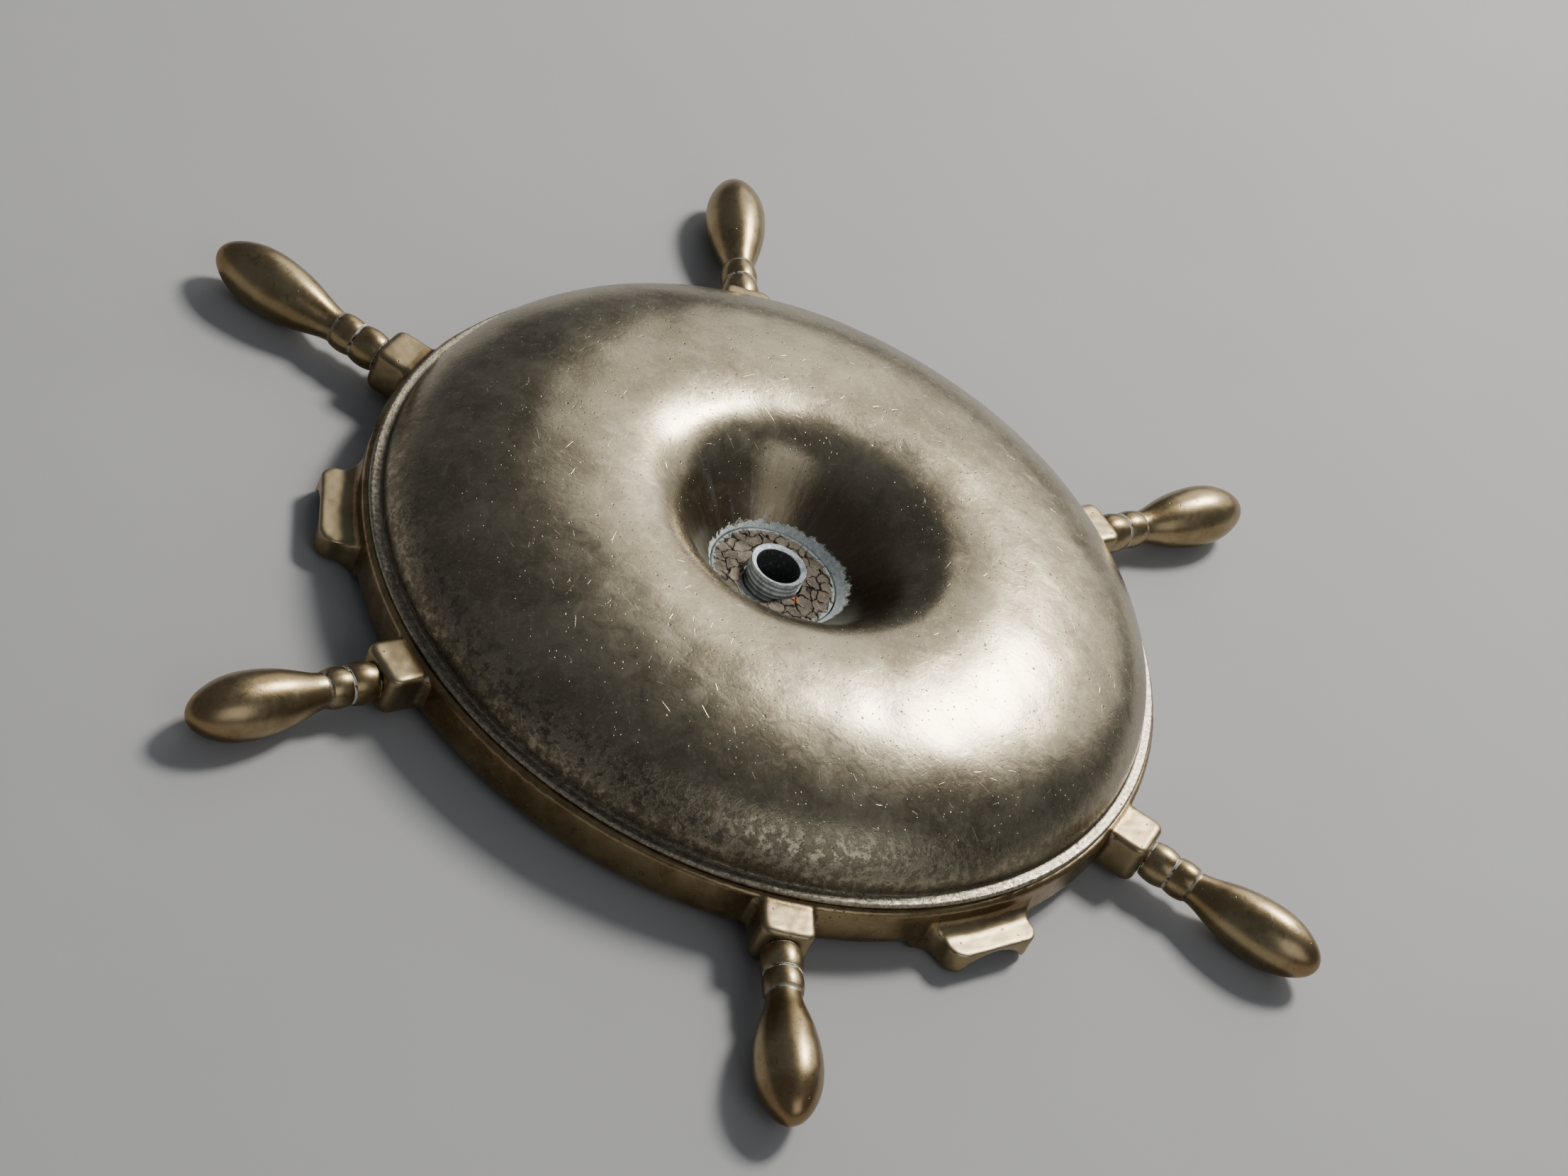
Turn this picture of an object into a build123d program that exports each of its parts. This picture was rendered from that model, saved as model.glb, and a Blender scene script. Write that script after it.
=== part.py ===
from build123d import *
import math
import os

# Ship's-wheel ashtray top of a smoking stand, lying with the ash side down.
# Z is the wheel axis. Heights called "h" are measured from the plane of the
# handle axes and the whole assembly is lifted at the end, so that the handle
# bulbs touch z = 0.

# ---------------------------------------------------------------- dimensions
# wheel
HANDLE_COUNT = 6
FIRST_HANDLE = 30.0            # azimuth of handle 1, degrees
TIP_R = 150.0                  # wheel axis to handle tip
BULB_R = 7.4                   # thickest radius of a handle
REST_COUNT = 3
FIRST_REST = 60.0              # azimuth of the first cigarette rest

# rim ring
RIM_OUT = 95.5
RIM_IN = 88.5
RIM_TOP = 6.0
RIM_BOTTOM = -6.0
RIM_TOP_ROUND = 1.2
RIM_BOTTOM_ROUND = 4.0
RIM_BORE_ROUND = 1.0

# square bosses that carry the handles
BOSS_WIDTH = 12.6
BOSS_TOP = 5.6
BOSS_BOTTOM = -5.8
BOSS_END = 104.4
BOSS_ROOT = 91.0
BOSS_CORNER = 2.5              # corners beside the handle
BOSS_UNDER_ROUND = 2.8         # rounded ash-side edges
BOSS_TOP_ROUND = 1.3
BOSS_FLARE = 2.4               # hollow corner against the ring

# cigarette rests
REST_HALF = 12.0
REST_END = 103.2
REST_TOP = -0.4
REST_BOTTOM = -6.3
REST_CORNER = 3.8
REST_FLARE = 4.6
REST_FILLET = 3.5
TROUGH_R = 11.0
TROUGH_DEPTH = 4.5

# threaded studs and their blind holes
STUD_R = 2.5
STUD_HOLE_R = 2.55
STUD_START = 93.0
STUD_END = 116.0
STUD_GAP = 0.4

# handle turning, radius against distance from the wheel axis
COLLAR_R = 4.1
BEAD_VALLEY_R = 4.2
BEAD_1 = (104.7, 107.85, 111.0, 4.75)
BEAD_2 = (111.3, 113.8, 116.3, 4.55)
NECK = (117.2, 3.9)
BELLY = ((124.0, 5.7), (134.5, BULB_R), (144.5, 5.75))

# bowl
CROWN_R = 47.0
CROWN_TOP = 29.2
CROWN_ROUND = 52.0             # radius of the flat crown towards the recess
LIP_R = 20.0                   # tighter bend at the mouth of the recess
LIP_TURN = 100.9               # direction where the crown runs into that bend
DOME_BASE_R = 91.6
FLANGE_TOP = 7.4
FLANGE_OUT = 94.4
SPIGOT_OUT = 88.2
SPIGOT_IN = 86.0
SPIGOT_END = -1.5
CROWN_INSIDE = 26.2
POCKET_R = 15.3                # flat-bottomed pocket of the leather washer
RECESS_FLOOR = 6.2
FUNNEL_START = 9.2             # height where the cone of the recess begins
HUB_UNDER = 3.0
HUB_R = 20.0

# hub tube, washers and nuts
TUBE_R = 6.6                   # over the exposed thread
TUBE_SHANK_R = 6.42            # below the leather, where nuts engage the thread
TUBE_BORE = 5.2
THREAD_PITCH = 1.34
THREAD_DEPTH = 0.6
TUBE_TOP = 12.9
TUBE_DISH = 0.6                # the end face sinks towards the bore
TUBE_BAND = 0.9                # plain end of the tube above the thread
TUBE_BOTTOM = -4.4
HUB_HOLE = 6.5
LEATHER_R = 14.9
LEATHER_HOLE = 7.0
LEATHER_THICK = 3.0
TORN_R = 5.2                   # piece broken out of the washer beside the tube
TORN_CENTRE = 5.4
TORN_AZIMUTH = 230.0
SHIM_R = 12.5
SHIM_THICK = 1.2
NUT_FLATS = 19.0
NUT_THICK = 3.0
NUT_BORE = 6.46
CAP_R = 9.6
CAP_SKIRT = 2.2
CAP_CROWN = 2.8

LIFT = BULB_R                  # handle plane above the surface it lies on


def turned(*edges):
    """Solid of revolution about Z from a closed profile drawn as (radius, h)."""
    with BuildPart() as solid:
        with BuildSketch(Plane.XZ) as profile:
            with BuildLine():
                for edge in edges:
                    add(edge)
            make_face()
        revolve(axis=Axis.Z)
    return solid.part


def around(shape, azimuth):
    return Rot(0, 0, azimuth) * shape


# ---------------------------------------------------------------- wheel rim
def rim_ring():
    top = RIM_OUT - RIM_TOP_ROUND
    low = RIM_OUT - RIM_BOTTOM_ROUND
    bore = RIM_IN + RIM_BORE_ROUND
    return turned(
        Line((RIM_IN, RIM_TOP), (top, RIM_TOP)),
        RadiusArc((top, RIM_TOP), (RIM_OUT, RIM_TOP - RIM_TOP_ROUND), RIM_TOP_ROUND),
        Line((RIM_OUT, RIM_TOP - RIM_TOP_ROUND), (RIM_OUT, RIM_BOTTOM + RIM_BOTTOM_ROUND)),
        RadiusArc((RIM_OUT, RIM_BOTTOM + RIM_BOTTOM_ROUND), (low, RIM_BOTTOM), RIM_BOTTOM_ROUND),
        Line((low, RIM_BOTTOM), (bore, RIM_BOTTOM)),
        RadiusArc((bore, RIM_BOTTOM), (RIM_IN, RIM_BOTTOM + RIM_BORE_ROUND), RIM_BORE_ROUND),
        Line((RIM_IN, RIM_BOTTOM + RIM_BORE_ROUND), (RIM_IN, RIM_TOP)),
    )


def boss():
    """Square boss on the +X side, its rounded edges on the outside and below."""
    length = BOSS_END - BOSS_ROOT
    height = BOSS_TOP - BOSS_BOTTOM
    middle = ((BOSS_END + BOSS_ROOT) / 2, 0, (BOSS_TOP + BOSS_BOTTOM) / 2)
    block = Pos(*middle) * Box(length, BOSS_WIDTH, height)
    outer = block.faces().sort_by(Axis.X)[-1]
    block = fillet(outer.edges().filter_by(Axis.Z), BOSS_CORNER)
    lower = block.faces().sort_by(Axis.Z)[0]
    block = fillet([e for e in lower.edges() if e.center().X > BOSS_ROOT + 0.1], BOSS_UNDER_ROUND)
    upper = block.faces().sort_by(Axis.Z)[-1]
    return fillet([e for e in upper.edges() if e.center().X > BOSS_ROOT + 0.1], BOSS_TOP_ROUND)


def boss_flare(way):
    """Hollow fillet of metal between one side of the boss and the ring wall."""
    side = BOSS_WIDTH / 2
    wide = side + BOSS_FLARE
    wall = math.sqrt(RIM_OUT**2 - wide**2) - 0.08
    low = BOSS_BOTTOM + BOSS_UNDER_ROUND
    high = BOSS_TOP - BOSS_TOP_ROUND
    tip = wall + BOSS_FLARE
    with BuildPart() as web:
        with BuildSketch(Plane.XY.offset(low)):
            with BuildLine():
                Line((BOSS_ROOT, way * (side - 1)), (BOSS_ROOT, way * wide))
                Line((BOSS_ROOT, way * wide), (wall, way * wide))
                RadiusArc((wall, way * wide), (tip, way * (side - 0.08)), -way * BOSS_FLARE)
                Line((tip, way * (side - 0.08)), (tip, way * (side - 1)))
                Line((tip, way * (side - 1)), (BOSS_ROOT, way * (side - 1)))
            make_face()
        extrude(amount=high - low)
    return web.part


def rest_plan():
    """Plan of one rest on the +X side, flared where it leaves the ring."""
    root = 94.0
    wide = REST_HALF + REST_FLARE
    side = root + REST_FLARE
    corner = REST_END - REST_CORNER
    half = [
        Line((BOSS_ROOT, 0), (BOSS_ROOT, wide)),
        Line((BOSS_ROOT, wide), (root, wide)),
        RadiusArc((root, wide), (side, REST_HALF), -REST_FLARE),
        Line((side, REST_HALF), (corner, REST_HALF)),
        RadiusArc((corner, REST_HALF), (REST_END, REST_HALF - REST_CORNER), REST_CORNER),
        Line((REST_END, REST_HALF - REST_CORNER), (REST_END, 0)),
    ]
    return half + [edge.mirror(Plane.XZ) for edge in half]


def rest():
    with BuildPart() as body:
        with BuildSketch(Plane.XY.offset(REST_BOTTOM)):
            with BuildLine():
                for edge in rest_plan():
                    add(edge)
            make_face()
        extrude(amount=REST_TOP - REST_BOTTOM)
    with BuildPart() as column:
        with BuildSketch(Plane.XY.offset(REST_BOTTOM)):
            with BuildLine():
                for edge in rest_plan():
                    add(edge)
            make_face()
        extrude(amount=REST_FILLET + REST_TOP - REST_BOTTOM)
    wall = RIM_OUT - 0.5
    face = REST_TOP - 0.5
    out = RIM_OUT + REST_FILLET
    blend = turned(
        Line((wall, face), (out, face)),
        Line((out, face), (out, REST_TOP)),
        RadiusArc((out, REST_TOP), (RIM_OUT, REST_TOP + REST_FILLET), REST_FILLET),
        Line((RIM_OUT, REST_TOP + REST_FILLET), (wall, REST_TOP + REST_FILLET)),
        Line((wall, REST_TOP + REST_FILLET), (wall, face)),
    )
    return body.part + (blend & column.part)


def trough():
    """Round-bottomed cigarette trough cut across the rest and the ring."""
    axis_h = REST_BOTTOM + TROUGH_DEPTH - TROUGH_R
    start = RIM_IN - 3
    length = REST_END - start + 5
    return Pos(start + length / 2, 0, axis_h) * Rot(0, 90, 0) * Cylinder(TROUGH_R, length)


def stud_hole(start, end):
    return Pos((start + end) / 2, 0, 0) * Rot(0, 90, 0) * Cylinder(STUD_HOLE_R, end - start)


def wheel_rim():
    rim = rim_ring()
    handles = [FIRST_HANDLE + 360 / HANDLE_COUNT * i for i in range(HANDLE_COUNT)]
    rests = [FIRST_REST + 360 / REST_COUNT * i for i in range(REST_COUNT)]
    one_boss = boss()
    one_rest = rest()
    for azimuth in handles:
        rim += around(one_boss, azimuth)
        rim += around(boss_flare(1), azimuth)
        rim += around(boss_flare(-1), azimuth)
    for azimuth in rests:
        rim += around(one_rest, azimuth)
    bore = Pos(0, 0, (RIM_TOP + REST_BOTTOM) / 2) * Cylinder(RIM_IN, 40)
    rim -= bore
    for azimuth in handles:
        rim -= around(stud_hole(STUD_START - STUD_GAP, BOSS_END + 1), azimuth)
    for azimuth in rests:
        rim -= around(trough(), azimuth)
    return rim


# ---------------------------------------------------------------- handles
def handle():
    """Turned handle lying along +X with its foot on the boss."""
    with BuildPart() as body:
        with BuildSketch(Plane.XZ):
            with BuildLine():
                Line((BOSS_END, 0), (BOSS_END, COLLAR_R))
                Line((BOSS_END, COLLAR_R), (BEAD_1[0], COLLAR_R))
                Line((BEAD_1[0], COLLAR_R), (BEAD_1[0], BEAD_VALLEY_R))
                for start, middle, end, crest in (BEAD_1, BEAD_2):
                    ThreePointArc((start, BEAD_VALLEY_R), (middle, crest), (end, BEAD_VALLEY_R))
                Line((BEAD_1[2], BEAD_VALLEY_R), (BEAD_2[0], BEAD_VALLEY_R))
                Line((BEAD_2[2], BEAD_VALLEY_R), NECK)
                Spline(NECK, *BELLY, (TIP_R, 0), tangents=((1, 0.12), (0, -1)))
                Line((TIP_R, 0), (BOSS_END, 0))
            make_face()
        revolve(axis=Axis.X)
    return body.part - stud_hole(BOSS_END - 1, STUD_END + STUD_GAP)


def stud():
    length = STUD_END - STUD_START
    rod = Pos(STUD_START + length / 2, 0, 0) * Rot(0, 90, 0) * Cylinder(STUD_R, length)
    return chamfer(rod.edges().filter_by(GeomType.CIRCLE), 0.5)


# ---------------------------------------------------------------- bowl
def ash_bowl():
    """Ring-shaped bowl: dome outside, hub recess in the middle, flange and spigot."""
    edge_round = (FLANGE_TOP - RIM_TOP) / 2
    land = FLANGE_OUT - edge_round
    # flat crown arc, then a tighter lip arc tangent to it, then the straight cone
    turn = math.radians(LIP_TURN)
    crown_centre = (CROWN_R, CROWN_TOP - CROWN_ROUND)
    reach = CROWN_ROUND - LIP_R
    lip_centre = (crown_centre[0] + reach * math.cos(turn), crown_centre[1] + reach * math.sin(turn))
    across = lip_centre[0] - POCKET_R
    up = lip_centre[1] - FUNNEL_START
    slope = math.degrees(math.atan2(up, across) + math.asin(LIP_R / math.hypot(across, up)))
    crown = CenterArc(crown_centre, CROWN_ROUND, 90, LIP_TURN - 90)
    lip = CenterArc(lip_centre, LIP_R, LIP_TURN, slope + 90 - LIP_TURN)
    return turned(
        Line((HUB_HOLE, RECESS_FLOOR), (POCKET_R, RECESS_FLOOR)),
        Line((POCKET_R, RECESS_FLOOR), (POCKET_R, FUNNEL_START)),
        Line((POCKET_R, FUNNEL_START), lip @ 1),
        lip,
        crown,
        EllipticalCenterArc((CROWN_R, FLANGE_TOP), DOME_BASE_R - CROWN_R, CROWN_TOP - FLANGE_TOP),
        Line((DOME_BASE_R, FLANGE_TOP), (land, FLANGE_TOP)),
        ThreePointArc((land, FLANGE_TOP), (FLANGE_OUT, RIM_TOP + edge_round), (land, RIM_TOP)),
        Line((land, RIM_TOP), (SPIGOT_OUT, RIM_TOP)),
        Line((SPIGOT_OUT, RIM_TOP), (SPIGOT_OUT, SPIGOT_END + 0.6)),
        Line((SPIGOT_OUT, SPIGOT_END + 0.6), (SPIGOT_OUT - 0.6, SPIGOT_END)),
        Line((SPIGOT_OUT - 0.6, SPIGOT_END), (SPIGOT_IN, SPIGOT_END)),
        Line((SPIGOT_IN, SPIGOT_END), (SPIGOT_IN, RIM_TOP)),
        EllipticalCenterArc((CROWN_R, RIM_TOP), SPIGOT_IN - CROWN_R, CROWN_INSIDE - RIM_TOP),
        EllipticalCenterArc((CROWN_R, HUB_UNDER), CROWN_R - HUB_R, CROWN_INSIDE - HUB_UNDER, 90),
        Line((HUB_R, HUB_UNDER), (HUB_HOLE, HUB_UNDER)),
        Line((HUB_HOLE, HUB_UNDER), (HUB_HOLE, RECESS_FLOOR)),
    )


# ---------------------------------------------------------------- hub stack
def flat_ring(outer, inner, bottom, top, corner):
    with BuildPart() as body:
        with Locations((0, 0, (bottom + top) / 2)):
            Cylinder(outer, top - bottom)
            Cylinder(inner, top - bottom, mode=Mode.SUBTRACT)
        rims = body.edges().filter_by(GeomType.CIRCLE).group_by(SortBy.RADIUS)[-1]
        fillet(rims, corner)
    return body.part


def hub_tube():
    """Hollow tube with a rolled thread below its plain, dished end."""
    root_r = TUBE_R - THREAD_DEPTH
    crest = THREAD_PITCH * 0.2
    flank = THREAD_PITCH * 0.4
    points = [(TUBE_BORE, TUBE_TOP - TUBE_DISH), (TUBE_R - 0.15, TUBE_TOP)]
    points += [(TUBE_R, TUBE_TOP - 0.15), (TUBE_R, TUBE_TOP - TUBE_BAND)]
    low = TUBE_TOP - TUBE_BAND
    while low - 2 * flank - crest > TUBE_BOTTOM:
        points.append((root_r, low - flank))
        high = low - 2 * flank
        low = high - crest
        exposed = low > RECESS_FLOOR + LEATHER_THICK
        crest_r = TUBE_R if exposed else TUBE_SHANK_R
        points += [(crest_r, high), (crest_r, low)]
    points += [(root_r, max(low - flank, TUBE_BOTTOM + 0.1)), (root_r, TUBE_BOTTOM)]
    points.append((TUBE_BORE, TUBE_BOTTOM))
    return turned(Polyline(*points, close=True))


def torn_washer(bottom, top):
    """Leather washer with the piece missing beside the tube."""
    ring = flat_ring(LEATHER_R, LEATHER_HOLE, bottom, top, 0.5)
    bite = Pos(TORN_CENTRE, 0, (bottom + top) / 2) * Cylinder(TORN_R, top - bottom + 2)
    return ring - around(bite, TORN_AZIMUTH)


def hub_nut(top):
    """Plain hexagon lock nut, corners turned off on the outer face."""
    bottom = top - NUT_THICK
    corner_r = NUT_FLATS / math.sqrt(3)
    with BuildPart() as body:
        with BuildSketch(Plane.XY.offset(bottom)):
            RegularPolygon(corner_r, 6)
            Circle(NUT_BORE, mode=Mode.SUBTRACT)
        extrude(amount=NUT_THICK)
    cone_low = NUT_FLATS / 2 - 0.2
    cone = turned(
        Line((0, bottom), (cone_low, bottom)),
        Line((cone_low, bottom), (corner_r + 0.2, bottom + 1.1)),
        Line((corner_r + 0.2, bottom + 1.1), (corner_r + 0.2, top)),
        Line((corner_r + 0.2, top), (0, top)),
        Line((0, top), (0, bottom)),
    )
    return body.part & cone


def hub_cap(top):
    """Low domed cap screwed over the free end of the tube."""
    skirt = top - CAP_SKIRT
    crown = skirt - CAP_CROWN
    dome = turned(
        Line((0, top), (CAP_R, top)),
        Line((CAP_R, top), (CAP_R, skirt)),
        EllipticalCenterArc((0, skirt), CAP_R, CAP_CROWN, 270),
        Line((0, crown), (0, top)),
    )
    socket_end = TUBE_BOTTOM - 0.2
    socket = Pos(0, 0, (top + socket_end) / 2) * Cylinder(NUT_BORE, top - socket_end)
    return dome - socket


# ---------------------------------------------------------------- assembly
def placed(shape):
    return Pos(0, 0, LIFT) * shape


def build():
    nodes = {}
    nodes["wheel_rim"] = wheel_rim()
    one_handle = handle()
    one_stud = stud()
    azimuths = [FIRST_HANDLE + 360 / HANDLE_COUNT * i for i in range(HANDLE_COUNT)]
    for number, azimuth in enumerate(azimuths, start=1):
        nodes[f"handle_{number}"] = around(one_handle, azimuth)
    nodes["handle_studs"] = Compound([around(one_stud, azimuth) for azimuth in azimuths])
    nodes["ash_bowl"] = ash_bowl()
    leather_top = RECESS_FLOOR + LEATHER_THICK
    nodes["leather_washer"] = torn_washer(RECESS_FLOOR, leather_top)
    nodes["hub_tube"] = hub_tube()
    shim_under = HUB_UNDER - SHIM_THICK
    nodes["hub_shim"] = flat_ring(SHIM_R, NUT_BORE, shim_under, HUB_UNDER, 0.2)
    nodes["hub_lock_nut"] = hub_nut(shim_under)
    nodes["hub_cap"] = hub_cap(shim_under - NUT_THICK)
    return nodes


os.makedirs("parts", exist_ok=True)
for name, shape in build().items():
    export_step(placed(shape), f"parts/{name}.step")
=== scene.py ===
import math

import bmesh
import bpy
import numpy as np
from mathutils import Matrix, Vector


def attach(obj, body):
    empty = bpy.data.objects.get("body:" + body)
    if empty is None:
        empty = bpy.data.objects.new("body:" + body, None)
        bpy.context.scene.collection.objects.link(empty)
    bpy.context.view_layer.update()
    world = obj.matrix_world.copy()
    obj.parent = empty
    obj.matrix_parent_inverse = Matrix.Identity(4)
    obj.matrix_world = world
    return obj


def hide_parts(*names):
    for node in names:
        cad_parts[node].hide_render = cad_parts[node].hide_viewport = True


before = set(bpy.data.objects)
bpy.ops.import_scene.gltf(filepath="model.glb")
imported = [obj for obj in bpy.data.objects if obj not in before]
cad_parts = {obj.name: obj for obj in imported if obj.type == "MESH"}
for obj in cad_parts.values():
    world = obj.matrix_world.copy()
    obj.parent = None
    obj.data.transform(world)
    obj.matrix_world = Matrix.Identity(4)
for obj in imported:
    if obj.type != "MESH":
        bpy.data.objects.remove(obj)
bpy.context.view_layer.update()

# Ship's-wheel ashtray top, ash side down. Lengths in this file are in mm and
# heights "h" are measured from the plane of the handle axes; mesh_object()
# turns both into the frame's metres.
MM = 0.001
LIFT = 7.4

# wheel
HANDLE_AZIMUTHS = [30 + 60 * i for i in range(6)]
RIM_OUT = 95.5
RIM_IN = 88.5
RIM_TOP = 6.0

# bowl
CROWN_R = 47.0
CROWN_TOP = 29.2
CROWN_ROUND = 52.0
CROWN_INSIDE = 26.2
LIP_R = 20.0
LIP_TURN = 100.9
DOME_BASE_R = 91.6
FLANGE_TOP = 7.4
FLANGE_OUT = 94.4
SPIGOT_OUT = 88.2
SPIGOT_IN = 86.0
SPIGOT_END = -1.5
POCKET_R = 15.3
RECESS_FLOOR = 6.2
FUNNEL_START = 9.2
HUB_UNDER = 3.0
HUB_R = 20.0
HUB_HOLE = 6.5

# hub
TUBE_R = 6.6
TUBE_SHANK_R = 6.42
TUBE_BORE = 5.2
TUBE_TOP = 12.9
TUBE_DISH = 0.6
TUBE_BAND = 0.9
TUBE_BOTTOM = -4.4
THREAD_PITCH = 1.34
THREAD_DEPTH = 0.6
LEATHER_TOP = 9.2
LEATHER_R = 14.9
LEATHER_HOLE = 7.0
TORN_R = 5.2                   # the piece broken out of the washer beside the tube
TORN_CENTRE = 5.4
TORN_AZIMUTH = 230.0


# ------------------------------------------------------------------ meshes
def ripple(points, wavelength, seed, waves=9):
    """Smooth pseudo-noise in about -1..1 from a few seeded sine waves."""
    rng = np.random.default_rng(seed)
    total = np.zeros(len(points))
    for _ in range(waves):
        way = rng.normal(size=3)
        way *= 2 * math.pi / (wavelength * rng.uniform(0.7, 1.4) * np.linalg.norm(way))
        total += np.sin(points @ way + rng.uniform(0, 2 * math.pi))
    return total / math.sqrt(waves / 2) / 1.6


def mesh_object(name, points, faces, face_slots=None, attributes=None, crease=40):
    """Object at the origin from points (x, y, h) in mm."""
    mesh = bpy.data.meshes.new(name)
    placed = (np.asarray(points, float) + (0, 0, LIFT)) * MM
    mesh.from_pydata(placed.tolist(), [], faces)
    mesh.polygons.foreach_set("use_smooth", [True] * len(mesh.polygons))
    if face_slots is not None:
        mesh.polygons.foreach_set("material_index", face_slots)
    for key, values in (attributes or {}).items():
        layer = mesh.attributes.new(key, "FLOAT", "POINT")
        layer.data.foreach_set("value", np.asarray(values, np.float32))
    mesh.update()
    mesh.set_sharp_from_angle(angle=math.radians(crease))
    obj = bpy.data.objects.new(name, mesh)
    bpy.context.scene.collection.objects.link(obj)
    return obj


def ring_faces(rows, segments, close_rows):
    """Quads of a grid whose rows run round an axis. Row i starts at vertex i * segments."""
    faces = []
    owners = []
    last = rows if close_rows else rows - 1
    for i in range(last):
        a = i * segments
        b = ((i + 1) % rows) * segments
        for j in range(segments):
            k = (j + 1) % segments
            faces.append((a + j, a + k, b + k, b + j))
            owners.append(i)
    return faces, owners


def quarter(centre, radius_x, radius_y, start, end, steps):
    angles = np.radians(np.linspace(start, end, steps))
    return [(centre[0] + radius_x * math.cos(a), centre[1] + radius_y * math.sin(a)) for a in angles]


def run(a, b, steps):
    return [tuple(np.array(a) + (np.array(b) - np.array(a)) * t) for t in np.linspace(0, 1, steps)]


def clamped_spline(knots, start_way, end_way, steps):
    """Cubic spline through the knots with given end directions, chord-length spaced."""
    knots = np.array(knots, float)
    chord = np.linalg.norm(np.diff(knots, axis=0), axis=1)
    span = np.concatenate([[0], np.cumsum(chord)])
    count = len(knots)
    left = np.zeros((count, count))
    right = np.zeros((count, 2))
    left[0, 0] = left[-1, -1] = 1
    right[0] = np.array(start_way) / np.linalg.norm(start_way)
    right[-1] = np.array(end_way) / np.linalg.norm(end_way)
    for i in range(1, count - 1):
        before, after = chord[i - 1], chord[i]
        left[i, i - 1:i + 2] = (after, 2 * (before + after), before)
        slope_a = (knots[i] - knots[i - 1]) / before
        slope_b = (knots[i + 1] - knots[i]) / after
        right[i] = 3 * (after * slope_a + before * slope_b)
    slopes = np.linalg.solve(left, right)
    out = []
    for where in np.linspace(0, span[-1], steps):
        i = min(int(np.searchsorted(span, where, side="right")) - 1, count - 2)
        t = (where - span[i]) / chord[i]
        ends = (2 * t ** 3 - 3 * t ** 2 + 1) * knots[i] + (3 * t ** 2 - 2 * t ** 3) * knots[i + 1]
        bends = (t ** 3 - 2 * t ** 2 + t) * slopes[i] + (t ** 3 - t ** 2) * slopes[i + 1]
        out.append(ends + chord[i] * bends)
    return np.array(out)


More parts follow.
